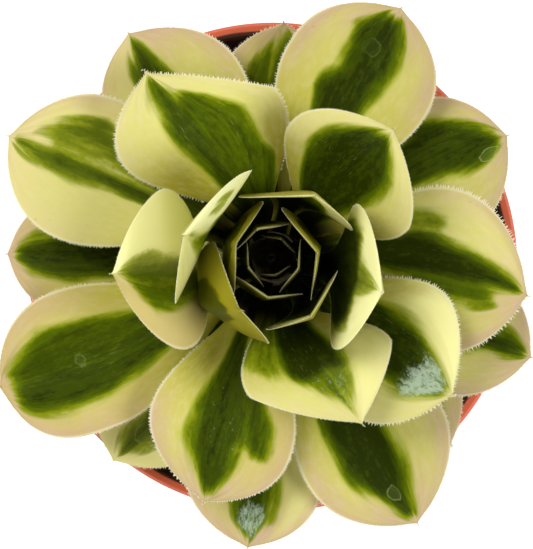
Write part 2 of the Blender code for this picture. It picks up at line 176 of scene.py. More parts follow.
# Green bands on a leaf: depth of green, width of the soft edge in mm, and where the band runs, as
# (along, left edge, right edge). Along is 0 at the stem and 1 at the tip; the edges are across the
# blade, 1 at its left margin and -1 at its right one.
BANDS = {
    1: [(0.72, 2.2, ((0.3, 0.5, -0.4), (0.75, 0.5, -0.2), (0.9, 0.57, -0.25), (0.97, 0.25, -0.2)))],
    2: [(0.95, 2, ((0.3, 0.3, -0.5), (0.8, 0.25, -0.45), (0.9, 0.15, -0.4), (0.97, 0.1, -0.3))),
        (0.6, 2, ((0.3, 0.6, 0), (0.8, 0.63, 0), (0.9, 0.4, 0), (0.95, 0.2, 0)))],
    3: [(0.95, 2.5, ((0.3, 0.6, -0.3), (0.8, 0.55, -0.1), (0.9, 0.4, 0.1), (0.94, 0.35, 0.2)))],
    4: [(0.95, 1.8, ((0.3, 0.45, -0.45), (0.7, 0.4, -0.45), (0.9, 0.5, -0.47), (0.97, 0.35, -0.4)))],
    5: [(0.92, 2, ((0.3, 0.6, -0.1), (0.6, 0.67, -0.15), (0.7, 0.77, -0.2), (0.9, 0.6, -0.4),
                   (0.97, 0.4, -0.3)))],
    6: [(0.85, 2.2, ((0.3, 0.4, -0.4), (0.85, 0.42, -0.4), (0.9, 0.5, -0.5), (0.98, 0.2, -0.2)))],
    7: [(0.9, 2, ((0.3, 0.45, -0.3), (0.85, 0.43, -0.2), (0.95, 0.3, -0.2), (0.99, 0.1, -0.1)))],
    8: [(1, 2, ((0.3, 0.4, -0.4), (0.85, 0.36, -0.25), (0.9, 0.47, -0.27), (0.98, 0.45, -0.25)))],
    9: [(0.9, 2.4, ((0.3, 0.5, -0.3), (0.6, 0.55, -0.1), (0.8, 0.67, -0.15), (0.97, 0.67, -0.1))),
        (0.78, 2.2, ((0.3, 0.5, -0.45), (0.6, 0.55, -0.55), (0.8, 0.7, -0.66), (0.97, 0.7, -0.5)))],
    10: [(0.97, 1.9, ((0.3, 0.4, -0.3), (0.6, 0.48, -0.33), (0.7, 0.33, -0.37), (0.8, 0.37, -0.47),
                      (0.88, 0.57, -0.47), (0.97, 0.35, -0.35)))],
    11: [(1, 2.2, ((0.3, 0.4, -0.6), (0.6, 0.3, -0.58), (0.8, 0.33, -0.5), (0.9, 0.27, -0.44),
                   (0.98, 0.3, -0.4)))],
    12: [(0.88, 2.2, ((0.3, 0.25, -0.14), (0.6, 0.18, -0.13), (0.9, 0.28, -0.1), (0.98, 0.3, -0.2))),
         (0.62, 2.6, ((0.3, -0.05, -0.5), (0.5, -0.05, -0.4), (0.6, -0.12, -0.5), (0.7, -0.2, -0.74),
                      (0.85, -0.25, -0.62), (0.92, -0.35, -0.5))),
         (0.3, 3, ((0.3, 0.2, -0.5), (0.75, 0.15, -0.5), (0.86, 0.1, -0.4))),
         (0.8, 4, ((0, 1.1, -1.1), (0.4, 0.7, -0.9)))],
    13: [(1, 2.4, ((0.3, 0.5, -0.2), (0.55, 0.5, -0.2), (0.7, 0.37, -0.26), (0.9, 0.31, -0.2),
                   (0.98, 0.33, -0.2))),
         (0.66, 2, ((0.5, 0.1, -0.25), (0.62, 0.1, -0.4), (0.8, 0.1, -0.46), (0.88, 0.1, -0.42))),
         (0.42, 3, ((0.3, 0.9, 0.4), (0.5, 0.85, 0.4), (0.66, 0.66, 0.3)))],
    14: [(0.9, 2.6, ((0.3, 0.1, -0.4), (0.5, 0.3, -0.42), (0.6, 0.46, -0.45), (0.68, 0.46, -0.45),
                     (0.76, 0.36, -0.47), (0.9, 0.4, -0.45), (0.98, 0.35, -0.3))),
         (0.82, 2.2, ((0.45, 0.45, 0), (0.55, 0.62, 0), (0.62, 0.72, 0.1), (0.72, 0.74, 0.3),
                      (0.77, 0.7, 0.5)))],
    15: [(0.88, 2.2, ((0.3, 0.5, 0), (0.5, 0.36, -0.05), (0.9, 0.38, -0.12), (0.98, 0.3, -0.05))),
         (0.74, 2.2, ((0.3, 0.6, -1), (0.4, 0.36, -0.85), (0.5, 0.35, -0.6), (0.8, 0.3, -0.55),
                      (0.86, 0.2, -0.4)))],
    16: [(0.97, 3.6, ((0.3, 0.6, -0.5), (0.6, 0.5, -0.42), (0.85, 0.36, -0.45), (0.97, 0.25, -0.4)))],
    17: [(0.55, 2.4, ((0.3, 0.5, -0.3), (0.55, 0.48, -0.2), (0.7, 0.57, -0.22), (0.8, 0.68, -0.38),
                      (0.88, 0.5, -0.42), (0.94, 0.25, -0.36), (0.98, 0.1, -0.2)))],
    18: [(0.97, 3.2, ((0.3, 0.68, -0.4), (0.6, 0.66, -0.42), (0.7, 0.7, -0.5), (0.8, 0.7, -0.56),
                      (0.9, 0.6, -0.5), (0.97, 0.42, -0.32)))],
    19: [(1, 3.6, ((0.3, 0.42, -0.5), (0.5, 0.42, -0.54), (0.62, 0.45, -0.54), (0.68, 0.42, -0.46),
                   (0.74, 0.35, -0.35))),
         (0.5, 3.8, ((0.6, 0.45, -0.4), (0.8, 0.42, -0.32), (0.9, 0.26, -0.14), (0.96, 0.15, -0.05))),
         # Painted shade: this band greens the cream of leaf 19 near the stem, where the cup shades it
         (0.45, 3.4, ((0.3, -0.3, -1.1), (0.5, -0.35, -1.1), (0.58, -0.4, -0.9), (0.66, -0.4, -0.6)))],
    20: [(0.6, 2.2, ((0, 0.6, -0.1), (0.7, 0.32, -0.12), (0.9, 0.24, -0.1), (0.97, 0.12, -0.1))),
         (0.62, 2.6, ((0.45, 0.1, -0.55), (0.6, 0, -0.5), (0.7, -0.05, -0.36), (0.76, -0.05, -0.2))),
         (0.42, 1.8, ((0.78, -0.34, -0.8), (0.84, -0.3, -0.85), (0.92, -0.3, -0.8)))],
    # Painted shade: the first band of leaf 21 paints its lower, steeper part dark green, where it lies
    # in shade
    21: [(0.95, 3.4, ((0, 1.1, -1.1), (0.5, 0.95, -0.95), (0.64, 0.8, -0.8), (0.76, 0.7, -0.66))),
         (0.55, 3, ((0.6, 0.4, -0.4), (0.8, 0.36, -0.3), (0.9, 0.26, -0.2), (0.97, 0.12, -0.08)))],
    22: [(0.9, 2, ((0, 0.7, -0.7), (0.6, 0.5, -0.5), (0.8, 0.4, -0.45), (0.92, 0.2, -0.2)))],
    23: [(0.9, 2, ((0, 0.75, -0.75), (0.7, 0.45, -0.55), (0.9, 0.2, -0.4), (0.96, 0.1, -0.2)))],
}
INNER_BAND = [(1, 2.4, ((0, 1.1, -1.1), (0.5, 0.8, -0.8), (0.8, 0.6, -0.6), (0.97, 0.4, -0.4)))]

# How far inside a band's edge its green is deepest, how far the edge wavers, in mm, and the part of a
# leaf past which a band's lower end can show
DEEP_GREEN = 3.4
BAND_WAVER = 1.3
CLAW_HIDDEN = 0.35

# Painted shade in the dark middle of the rosette: how far out it reaches, how high up among the leaves,
# and over what widths it fades
DEEP_REACH = 20 * MM
DEEP_TOP = 152 * MM
DEEP_FADES = (8 * MM, 12 * MM)

# Painted shade inside a cup leaf: the height under which it darkens, how dark it gets, and how much of
# that its margin is spared; and the height that the darkening takes
LARGE_CUP_SHADE = (160 * MM, 0.6, 0.5)
SMALL_CUP_SHADE = (168 * MM, 0.88, 0.2)
CUP_FADE = 18 * MM

# Dried water marks: (along, across, radius in mm, strength) by leaf
MARKS = {
    1: (0.82, 0.18, 2.6, 0.8),
    5: (0.905, -0.2, 2.2, 1.3),
    6: (0.915, 0.1, 2.4, 1.4),
    9: (0.7, 0.01, 1.5, 0.4),
    10: (0.82, 0.07, 1.8, 0.3),
    11: (0.87, -0.13, 1.8, 0.9),
}

# Painted light on the cream parts: patches painted paler, and made to glow a little, as pools of light
# and highlights: (along, across, reach along and across in mm, strength) by leaf, and the greatest
# strength
PALE_PATCHES = {
    1: (0.85, 0, 20, 26, 0.9),
    6: (0.62, 0.75, 16, 5, 0.8),
    7: (0.9, 0.5, 10, 8, 0.4),
    12: (0.7, 0.3, 30, 26, 0.6),
    13: (0.62, 0.6, 18, 9, 0.4),
    16: (0.82, 0.75, 12, 5, 0.7),
    17: (0.72, -0.7, 22, 12, 1.2),
    19: (0.82, 0.7, 12, 7, 0.35),
    20: (0.85, -0.7, 14, 10, 0.9),
    21: (0.95, 0, 11, 22, 0.8),
}
PALE_MOST = 1.2

# Beige and pinkish patches of the cream parts, given as the painted-light patches are. The pink on leaf
# 17 is the leaf's own tint; the patch on leaf 9 is painted shade, darkening a cream that lies low under
# the other leaves.
FLUSHED = {
    9: (0.78, 0, 22, 26, 0.4),
    14: (0.6, 0.7, 16, 9, 0.5),
    17: (0.8, 0.8, 16, 10, 0.8),
}

# How olive the outer face of a cup leaf is
OLIVE_BACKS = {22: 0.9, 23: 0.5, 24: 0.7, 25: 0.8, 26: 0.8}

# Painted sheen on the green parts: a bluish-white reflection painted over them, given as the
# painted-light patches are
BLOOM = {
    1: (0.8, 0.45, 5, 3, 0.5),
    6: (0.9, 0.05, 4, 5, 0.7),
    14: (0.66, 0.05, 10, 6, 0.14),
    16: (0.86, -0.06, 4.6, 6.6, 0.85),
    19: (0.84, 0.1, 5.5, 6, 0.3),
}

# A patch that lies off the leaf
NO_PATCH = (2, 0, 1, 1, 0)


class Field:
    """The output of a node. Sums written with fields add the math nodes that work them out."""

    def __init__(self, tree, socket):
        self.tree = tree
        self.socket = socket


def give_operator(name, operation):
    """Let a field stand on either side of a sign, such as +."""
    setattr(Field, f"__{name}__", lambda field, other: calc(operation, field, other))
    setattr(Field, f"__r{name}__", lambda field, other: calc(operation, other, field))


for sign, work in (("add", "ADD"), ("sub", "SUBTRACT"), ("mul", "MULTIPLY"), ("truediv", "DIVIDE"),
                   ("pow", "POWER")):
    give_operator(sign, work)


def feed(tree, value, socket):
    """Give a socket its value: a link from a field, or a constant."""
    if isinstance(value, Field):
        tree.links.new(value.socket, socket)
    else:
        socket.default_value = value


def put(tree, kind, values=(), **settings):
    """Add a node. values maps an input's name or number to a field or a constant."""
    node = tree.nodes.new(kind)
    for name, setting in settings.items():
        setattr(node, name, setting)
    for name, value in dict(values).items():
        feed(tree, value, node.inputs[name])
    return node


def out(node, name=0):
    return Field(node.id_data, node.outputs[name])


def calc(operation, *terms):
    tree = next(term.tree for term in terms if isinstance(term, Field))
    return out(put(tree, "ShaderNodeMath", enumerate(terms), operation=operation))


def vector(operation, *terms):
    tree = next(term.tree for term in terms if isinstance(term, Field))
    node = put(tree, "ShaderNodeVectorMath", enumerate(terms), operation=operation)
    return out(node, "Value" if operation in ("DOT_PRODUCT", "LENGTH", "DISTANCE") else "Vector")


def scaled(direction, size):
    node = put(direction.tree, "ShaderNodeVectorMath", {0: direction, "Scale": size}, operation="SCALE")
    return out(node)


def combined(tree, x, y, z):
    return out(put(tree, "ShaderNodeCombineXYZ", {0: x, 1: y, 2: z}))


def ramp(value, low, high, start=0.0, end=1.0):
    """start at low, end at high, with an eased way between them."""
    node = put(value.tree, "ShaderNodeMapRange",
               {0: value, 1: low, 2: high, 3: start, 4: end}, interpolation_type="SMOOTHSTEP")
    return out(node)


GEOMETRY = "NodeSocketGeometry"
MATERIAL = "NodeSocketMaterial"
NUMBER = "NodeSocketFloat"
WHOLE = "NodeSocketInt"
VECTOR = "NodeSocketVector"
COLOUR = "NodeSocketColor"


def chance(tree, low, high, seed):
    """A number, or a vector where low is one, that is drawn anew for each point."""
    kind, at = ("FLOAT_VECTOR", 0) if isinstance(low, tuple) else ("FLOAT", 1)
    values = {2 * at: low, 2 * at + 1: high, "Seed": seed}
    return out(put(tree, "FunctionNodeRandomValue", values, data_type=kind), at)


def new_tree(name, kind, inputs, outputs):
    """A node tree with named sockets, and its input fields by name. Each socket is given by the number
    that it starts with, or by its kind."""
    tree = bpy.data.node_groups.new(name, kind)
    for side, sockets in (("INPUT", inputs), ("OUTPUT", outputs)):
        for label, given in sockets.items():
            socket_kind = {float: NUMBER, int: WHOLE}.get(type(given), given)
            socket = tree.interface.new_socket(name=label, in_out=side, socket_type=socket_kind)
            if socket_kind is not given:
                socket.default_value = given
    source = tree.nodes.new("NodeGroupInput")
    return tree, {label: Field(tree, source.outputs[label]) for label in inputs}


def finish_tree(tree, results):
    sink = tree.nodes.new("NodeGroupOutput")
    for name, value in results.items():
        feed(tree, value, sink.inputs[name])


def chain(tree, geometry, *steps):
    """Send a geometry through nodes, each given as (kind, values) or (kind, values, settings)."""
    for kind, values, *settings in steps:
        node = put(tree, "GeometryNode" + kind, values, **dict(*settings))
        tree.links.new(geometry.socket, node.inputs[0])
        geometry = out(node)
    return geometry


def joined(tree, *parts):
    node = put(tree, "GeometryNodeJoinGeometry")
    for part in parts:
        tree.links.new(part.socket, node.inputs[0])
    return out(node)


def use_tree(obj, tree, values):
    """Put a geometry tree on an object and set its inputs by their sockets' identifiers."""
    modifier = obj.modifiers.new(tree.name, "NODES")
    modifier.node_group = tree
    for item in tree.interface.items_tree:
        if item.in_out == "INPUT" and item.name in values:
            modifier[item.identifier] = values[item.name]


def new_object(name, mesh):
    obj = bpy.data.objects.new(name, mesh)
    bpy.context.scene.collection.objects.link(obj)
    return obj


def settle(objects):
    """Turn each object's evaluated result into a plain mesh and drop its modifiers."""
    graph = bpy.context.evaluated_depsgraph_get()
    meshes = [bpy.data.meshes.new_from_object(obj.evaluated_get(graph)) for obj in objects]
    for obj, mesh in zip(objects, meshes):
        obj.modifiers.clear()
        obj.data = mesh
        mesh.name = obj.name


def face_outward(mesh):
    bm = bmesh.new()
    bm.from_mesh(mesh)
    bmesh.ops.recalc_face_normals(bm, faces=bm.faces)
    bm.to_mesh(mesh)
    bm.free()


def coat_node(name, material):
    """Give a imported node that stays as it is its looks."""
    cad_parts[name].material_slots[0].material = material


def ride(obj, slot, *nodes):
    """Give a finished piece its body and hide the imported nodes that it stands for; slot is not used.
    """
    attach(obj, "root")
    if nodes:
        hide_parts(*nodes)


# The leaf's surface, worked out by nodes

LEAF_SIZES = ("Azimuth", "Base radius", "Base height", "Length", "Start angle", "Claw turn",
              "Blade turn", "Fold", "Curl", "Side", "Left taper", "Right taper", "Base half width",
              "Half width", "Growth", "Base thickness", "Blade thickness", "Wave", "Seed")


def arc(length, start, turn):
    """End of an arc of this length that sets off at angle start and turns by turn."""
    half = turn * 0.5 + 1e-6
    chord = length * calc("SINE", half) / half
    return chord * calc("COSINE", start + half), chord * calc("SINE", start + half)


def leaf_surface_tree():
    """A point on a leaf's skin at Along and Across, and the skin's outward direction there."""
    tree, f = new_tree("leaf surface", "GeometryNodeTree",
                       {name: 0.0 for name in ("Along", "Across", "Face", *LEAF_SIZES)},
                       {"Position": VECTOR, "Skin": VECTOR})
    s, v, length = f["Along"], f["Across"], f["Length"]
    side_of = calc("SIGN", v)
    away = calc("ABSOLUTE", v)
    low = calc("MINIMUM", s, CLAW_PART)
    high = calc("MAXIMUM", s - CLAW_PART, 0.0)
    claw = f["Claw turn"] * low / CLAW_PART
    blade = f["Blade turn"] * high / (1 - CLAW_PART)
    run0, rise0 = arc(low, f["Start angle"], claw)
    run1, rise1 = arc(high, f["Start angle"] + f["Claw turn"], blade)
    pitch = f["Start angle"] + claw + blade

    swell = calc("SINE", calc("MINIMUM", s / WIDEST, 1.0) * (math.pi / 2)) ** f["Growth"]
    near = f["Base half width"] + (f["Half width"] - f["Base half width"]) * swell
    end = calc("MINIMUM", calc("MAXIMUM", (s - WIDEST) / (1 - WIDEST), 0.0), 1.0)
    point = POINT_LENGTH / length
    spike = calc("MAXIMUM", (1 + point - s) / (point * 3), 0.0) * POINT_HALF * ramp(s, 0.9, 0.99)
    is_left = calc("GREATER_THAN", v, 0.0)
    taper = f["Left taper"] * is_left + f["Right taper"] * (1 - is_left)
    half = calc("MAXIMUM", near * (1 - end ** (2.2 - taper)) ** (0.72 + 0.2 * taper), spike)

    ripe = ramp(s, 0.0, 0.75)
    fold = f["Fold"] * ripe
    curl = f["Curl"] * ripe * away
    y, h = arc(half * away, fold, curl)
    tilt = fold + curl
    spot = combined(tree, s * 5, v * 1.3, f["Seed"])
    ripple = out(put(tree, "ShaderNodeTexNoise", {"Vector": spot, "Scale": 1.0, "Detail": 1.0}), "Fac")
    h = h + (ripple - 0.5) * f["Wave"] * ripe * (0.25 + away * away)

    thick = f["Base thickness"] + (f["Blade thickness"] - f["Base thickness"]) * ramp(s, 0.0, 0.5)
    thick = calc("MAXIMUM", thick * (1 - away * away * 0.6), LEAST_THICK)
    closed = calc("MAXIMUM", 1 - away ** 6, 0.0) ** 0.5
    closed = closed * calc("MAXIMUM", 1 - (s / (1 + point)) ** 40, 0.0) ** 0.5
    closed = closed * calc("MINIMUM", s * 60, 1.0) ** 0.5

    left = (0.0, 1.0, 0.0)
    rib = combined(tree, f["Base radius"] + run0 * length + run1 * length, f["Side"] * s * s,
                   f["Base height"] + rise0 * length + rise1 * length)
    along = vector("NORMALIZE", combined(tree, calc("COSINE", pitch), f["Side"] * s / length,
                                         calc("SINE", pitch)))
    lean = scaled(along, vector("DOT_PRODUCT", along, left))
    across = vector("NORMALIZE", vector("SUBTRACT", left, lean))
    normal = vector("CROSS_PRODUCT", along, across)
    skin = vector("SUBTRACT", scaled(normal, calc("COSINE", tilt)),
                  scaled(across, calc("SINE", tilt) * side_of))
    place = vector("ADD", rib, scaled(across, y * side_of))
    place = vector("ADD", place, scaled(normal, h))
    place = vector("ADD", place, scaled(skin, f["Face"] * thick * 0.5 * closed))

    def turned(direction):
        return out(put(tree, "ShaderNodeVectorRotate", {"Vector": direction, "Angle": f["Azimuth"]},
                       rotation_type="Z_AXIS"))

    place = vector("ADD", turned(place), (STEM_X, STEM_Y, 0.0))
    finish_tree(tree, {"Position": place, "Skin": turned(skin)})
    return tree


def leaf_tree(surface):
    """A whole leaf: upper and lower skin closed at the margins, and the fringe of hairs on them."""
    tree, f = new_tree("leaf", "GeometryNodeTree",
                       {**{name: 0.0 for name in LEAF_SIZES}, "Rows": 60, "Columns": 40, **OUTER_FRINGE,
                        "Leaf skin": MATERIAL, "Hair": MATERIAL}, {"Leaf": GEOMETRY})
    reach = 1 + POINT_LENGTH / f["Length"]

    def on_leaf(s, v, face):
        values = {**{name: f[name] for name in LEAF_SIZES}, "Along": s, "Across": v, "Face": face}
        return put(tree, "GeometryNodeGroup", values, node_tree=surface)

    grid = put(tree, "GeometryNodeMeshGrid",
               {"Size X": 1.0, "Size Y": 1.0, "Vertices X": f["Rows"], "Vertices Y": f["Columns"]})
    split = put(tree, "ShaderNodeSeparateXYZ", {0: out(put(tree, "GeometryNodeInputPosition"))})
    s = calc("POWER", calc("MAXIMUM", out(split, "X") + 0.5, 0.0), 0.9) * reach
    v = calc("SINE", out(split, "Y") * math.pi)

    def stored(name, value, kind="FLOAT"):
        return "StoreNamedAttribute", {"Name": name, "Value": value}, {"data_type": kind}

    sheet = chain(tree, out(grid, "Mesh"), stored("across", v), stored("along", s))

    def named(name, kind="FLOAT"):
        return out(put(tree, "GeometryNodeInputNamedAttribute", {"Name": name}, data_type=kind))

    skins = []
    for face in (1.0, -1.0):
        node = on_leaf(named("along"), named("across"), face)
        skin = chain(tree, sheet, ("SetPosition", {"Position": out(node, "Position")}),
                     stored("face", face))
        skins.append(skin)
    lower = chain(tree, skins[1], ("FlipFaces", {}))
    blade = chain(tree, joined(tree, skins[0], lower), ("MergeByDistance", {"Distance": 0.004 * MM}),
                  ("SetShadeSmooth", {}), ("SetMaterial", {"Material": f["Leaf skin"]}))

    q = out(put(tree, "GeometryNodeInputIndex")) / (FRINGE_STEPS / 2) - 1
    line = put(tree, "GeometryNodeMeshLine", {"Count": FRINGE_STEPS + 1})
    edge_s = (1 - calc("ABSOLUTE", q) ** 1.6) * reach
    node = on_leaf(edge_s, calc("SIGN", q + 1e-4), 0.0)
    edge = chain(tree, out(line), stored("along", edge_s),
                 stored("skin", out(node, "Skin"), "FLOAT_VECTOR"),
                 ("SetPosition", {"Position": out(node, "Position")}), ("MeshToCurve", {}))
    points = put(tree, "GeometryNodeCurveToPoints", {"Curve": edge, "Length": f["Hair spacing"]},
                 mode="LENGTH")
    outward = vector("CROSS_PRODUCT", out(points, "Tangent"), named("skin", "FLOAT_VECTOR"))
    aim = vector("ADD", outward, chance(tree, (-0.3, -0.3, -0.3), (0.3, 0.3, 0.3), 3))
    growth = chance(tree, 0.55, 1.1, 7)
    shift = chance(tree, -0.4, 0.4, 11)
    turn = put(tree, "FunctionNodeAlignRotationToVector", {"Vector": aim}, axis="Z")
    hair = put(tree, "GeometryNodeMeshCone",
               {"Vertices": HAIR_SIDES, "Radius Bottom": f["Hair radius"],
                "Radius Top": f["Hair radius"] * 0.25, "Depth": f["Hair length"]})
    jog = scaled(out(points, "Tangent"), shift * f["Hair spacing"])
    moved = chain(tree, out(points, "Points"), ("SetPosition", {"Offset": jog}))
    grown = put(tree, "FunctionNodeCompare", {0: named("along"), 1: HAIRLESS_CLAW},
                operation="GREATER_THAN")
    size = combined(tree, 1.0, 1.0, growth)
    fringe = put(tree, "GeometryNodeInstanceOnPoints",
                 {"Points": moved, "Selection": out(grown), "Instance": out(hair),
                  "Rotation": out(turn), "Scale": size})
    fringe = chain(tree, out(fringe), ("RealizeInstances", {}),
                   ("SetMaterial", {"Material": f["Hair"]}))
    finish_tree(tree, {"Leaf": joined(tree, blade, fringe)})
    return tree


def midrib_end(claw, blade):
    """Run and rise of the whole midrib of length 1 that sets off level."""
    run, rise, start = 0.0, 0.0, 0.0
    for length, turn in ((CLAW_PART, claw), (1 - CLAW_PART, blade)):
        half = turn / 2
        run += length * math.sin(half) / half * math.cos(start + half)
        rise += length * math.sin(half) / half * math.sin(start + half)
        start += turn
    return run, rise


def leaf_sizes(leaf, rank):
    """The leaf tree's sizes for one row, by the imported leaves' rule."""
    t = rank / RANKS
    young = rank / (len(LEAVES) - 1)
    thick0 = BASE_THICK * (1 - t) + BASE_THICK_YOUNG * t
    claw, blade = math.radians(leaf.claw), math.radians(leaf.blade)
    dome = THICKEST * math.sqrt(max(1 - t ** 2.5, 0)) + TIP_RADIUS
    z0 = LOWEST_LEAF + LEAF_ZONE * t
    rise = POT_HEIGHT + leaf.height * MM - z0
    lean = math.atan2(rise, leaf.reach * MM - dome) - 0.6 * claw - 0.25 * blade
    r0 = dome + GAP + 0.5 * thick0 * math.sin(lean)
    run = leaf.reach * MM - r0
    x, z = midrib_end(claw, blade)
    length = math.hypot(run, rise) / math.hypot(x, z)
    return {
        "Azimuth": math.radians(leaf.azimuth), "Base radius": r0, "Base height": z0, "Length": length,
        "Start angle": math.atan2(rise, run) - math.atan2(z, x), "Claw turn": claw, "Blade turn": blade,
        "Fold": math.radians(leaf.fold), "Curl": math.radians(leaf.curl), "Side": leaf.side * MM,
        "Left taper": leaf.left, "Right taper": leaf.right,
        "Base half width": 0.5 * (BASE_WIDE * (1 - t) + BASE_WIDE_YOUNG * t),
        "Half width": leaf.width * MM / 2,
        "Growth": 2.0 + 1.2 * young if rank < LAST_MIDDLE else CUP_GROWTH,
        "Base thickness": thick0, "Blade thickness": min(MIDRIB_THICK, 0.028 * length + 0.12 * MM),
        "Wave": WAVE if rank < LAST_MIDDLE else CUP_WAVE, "Seed": 1.7 * rank,
    }


def read_floats(mesh, name):
    values = np.zeros(len(mesh.vertices), np.float32)
    mesh.attributes[name].data.foreach_get("value", values)
    return values


def eased(x):
    x = np.clip(x, 0, 1)
    return x * x * (3 - 2 * x)


def paint_leaf(mesh, rank, sizes):
    """Store how green each point is, its distance from a water mark's ring in mm, its painted sheen and
    its patches, and its painted shade, which grows the deeper it lies in the middle of the rosette and
    the lower it lies inside a cup leaf."""
    along = np.clip(read_floats(mesh, "along"), 0, 1.05)
    across = read_floats(mesh, "across")
    half = sizes["Half width"] / MM
    length = sizes["Length"] / MM
    wobble = np.array([noise.noise(Vector((a * length / 9, c * half / 3.2, 5.0 * rank)))
                       for a, c in zip(along, across)])
    green = np.zeros_like(along)
    for depth, soft, course in BANDS.get(rank + 1, INNER_BAND):
        course = np.array(course)
        left = np.interp(along, course[:, 0], course[:, 1])
        right = np.interp(along, course[:, 0], course[:, 2])
        narrow = np.sqrt(np.clip(1.02 - along, 0.01, 1) / 0.5)
        width = half * np.minimum(narrow, 1)
        inside = np.minimum((left - across) * width, (across - right) * width)
        inside = np.minimum(inside, (course[-1, 0] - along) * length)
        if course[0, 0] > CLAW_HIDDEN:
            inside = np.minimum(inside, (along - course[0, 0]) * length)
        inside = inside + BAND_WAVER * wobble
        cover = eased((inside + 0.6 * soft) / (1.4 * soft))
        core = eased(inside / DEEP_GREEN)
        green = np.maximum(green, depth * (0.55 * cover + 0.45 * core))

    def distance(s, v, long, wide):
        return np.hypot((along - s) * length / long, (across - v) * half / wide)

    s, v, radius, strength = MARKS.get(rank + 1, (2.0, 0.0, 0.0, 0.0))
    paint = {"green": green, "ring": distance(s, v, 1.0, 1.18) - radius * (1 + 0.4 * wobble),
             "mark": np.full_like(along, strength), "seed": np.full_like(along, 3.3 * rank)}
    s, v, long, wide, strength = BLOOM.get(rank + 1, NO_PATCH)
    bloom = eased(1.6 - distance(s, v, long, wide) + 0.5 * wobble) * eased(2.5 * green)
    paint["bloom"] = strength * bloom
    for name, patches in (("pale", PALE_PATCHES), ("flush", FLUSHED)):
        s, v, long, wide, strength = patches.get(rank + 1, NO_PATCH)
        paint[name] = strength * eased(1.5 - distance(s, v, long, wide) + 0.4 * wobble)
    place = np.zeros(3 * len(along), np.float32)
    mesh.vertices.foreach_get("co", place)
    x, y, z = place.reshape(-1, 3).T
    radius = np.hypot(x - STEM_X, y - STEM_Y)
    # Painted shade: the middle of the rosette is painted dark
    deep = eased((DEEP_REACH - radius) / DEEP_FADES[0]) * eased((DEEP_TOP - z) / DEEP_FADES[1])
    olive = np.zeros_like(along)
    if rank >= LAST_MIDDLE:
        inner = 0.5 + 0.5 * read_floats(mesh, "face")
        margin = np.maximum(eased((np.abs(across) - 0.3) / 0.6), eased((along - 0.7) / 0.3))
        # Painted shade: the inside of a cup leaf is painted darker downwards, its margin less so
        top, darkest, spared = LARGE_CUP_SHADE if rank < LAST_LARGE else SMALL_CUP_SHADE
        deep = np.maximum(deep, darkest * inner * eased((top - z) / CUP_FADE)) * (1 - spared * margin)
        olive = OLIVE_BACKS.get(rank + 1, 0.0) * (1 - inner)
    paint.update({"deep": deep, "olive": olive})
    for name, values in paint.items():
        mesh.attributes.new(name, "FLOAT", "POINT").data.foreach_set("value", values.astype(np.float32))


# Materials

def linear(red, green, blue):
    """Linear colour of an sRGB one given as 0 to 255."""
    parts = [c / 255 for c in (red, green, blue)]
    return (*[c / 12.92 if c <= 0.04045 else ((c + 0.055) / 1.055) ** 2.4 for c in parts], 1.0)


BLACK = (0.0, 0.0, 0.0, 1.0)


def mixed(factor, first, second):
    """The first colour at factor 0 and the second at 1."""
    return out(put(factor.tree, "ShaderNodeMix", {0: factor, 6: first, 7: second}, data_type="RGBA"), 2)


def on_object(tree):
    return out(put(tree, "ShaderNodeTexCoord"), "Object")


def speckle(tree, place, scale, detail=2.0, roughness=0.5):
    node = put(tree, "ShaderNodeTexNoise",
               {"Vector": place, "Scale": scale, "Detail": detail, "Roughness": roughness})
    return out(node, "Fac")


def attribute(tree, name):
    return out(put(tree, "ShaderNodeAttribute", attribute_name=name), "Fac")


def group_of(tree, group, values):
    node = tree.nodes.new("ShaderNodeGroup")
    node.node_tree = group
    for name, value in values.items():
        feed(tree, value, node.inputs[name])
    return node


PAINTED = ("green", "along", "across", "face", "ring", "mark", "seed", "bloom", "pale", "flush", "deep",
           "olive")


